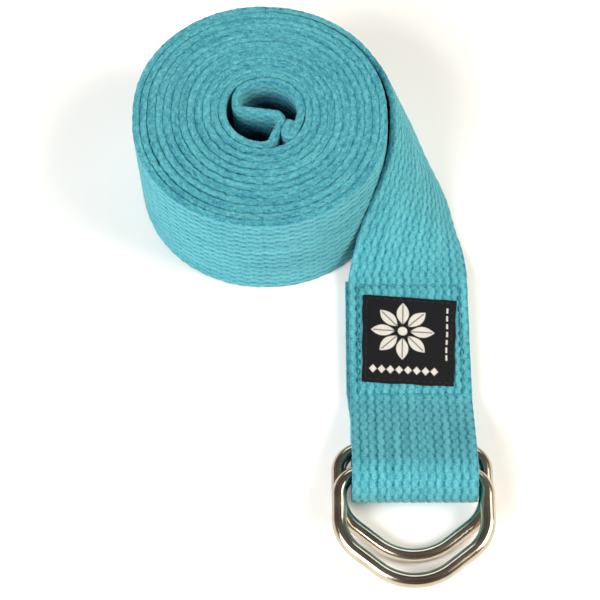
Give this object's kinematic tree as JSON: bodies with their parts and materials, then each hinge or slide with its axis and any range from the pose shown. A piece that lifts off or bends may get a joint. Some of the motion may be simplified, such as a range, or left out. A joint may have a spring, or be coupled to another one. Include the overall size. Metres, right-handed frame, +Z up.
{
  "type": "stretching strap",
  "caption": "Long cotton webbing strap rolled up on edge, its sewn end lying flat with a stitched cloth label and a folded loop holding two D-rings.",
  "frame": {"origin": "middle of the whole object's bounding box, on the surface that it lies on", "axes": "+Z up from the surface, +Y along the object from the D-rings to the roll, +X to the right seen from above with the rings nearest"},
  "size_m": [0.1117, 0.189, 0.0382],
  "materials": {
    "cotton_webbing": "heavy warp-faced cotton webbing, matt, turquoise",
    "ring_steel": "polished nickel-plated steel wire",
    "label_cloth": "dense damask-woven label, charcoal with an off-white woven rosette",
    "dark_thread": "fine black sewing thread",
    "turquoise_thread": "heavy polyester sewing thread in the webbing's colour"
  },
  "bodies": {
    "roll": {"webbing_hem": "cotton_webbing", "webbing_core_curl": "cotton_webbing", "webbing_turns_1": "cotton_webbing", "webbing_turns_2": "cotton_webbing", "webbing_turns_3": "cotton_webbing", "webbing_turns_4": "cotton_webbing", "webbing_outer_turns": "cotton_webbing", "webbing_twist": "cotton_webbing", "hem_thread": "turquoise_thread"},
    "sewn_end": {"webbing_top_ply": "cotton_webbing", "webbing_ring_loop": "cotton_webbing", "webbing_under_ply": "cotton_webbing", "label": "label_cloth", "label_thread": "dark_thread", "box_needle_thread": "turquoise_thread", "box_bobbin_thread": "turquoise_thread"},
    "front_ring": {"ring_front": "ring_steel"},
    "back_ring": {"ring_back": "ring_steel"}
  },
  "joints": [
    {"name": "end_lift", "type": "hinge", "parent": "roll", "child": "sewn_end", "pos_m": [0.0314, 0.012, 0.005], "axis": [-1, 0, 0], "range_deg": [0, 60]},
    {"name": "front_ring_turn", "type": "hinge", "parent": "sewn_end", "child": "front_ring", "pos_m": [0.0313, -0.06, 0.01015], "axis": [-1, 0, 0], "range_deg": [0, 150]},
    {"name": "back_ring_turn", "type": "hinge", "parent": "sewn_end", "child": "back_ring", "pos_m": [0.0313, -0.0506, 0.00655], "axis": [-1, 0, 0], "range_deg": [-130, 0]}
  ]
}
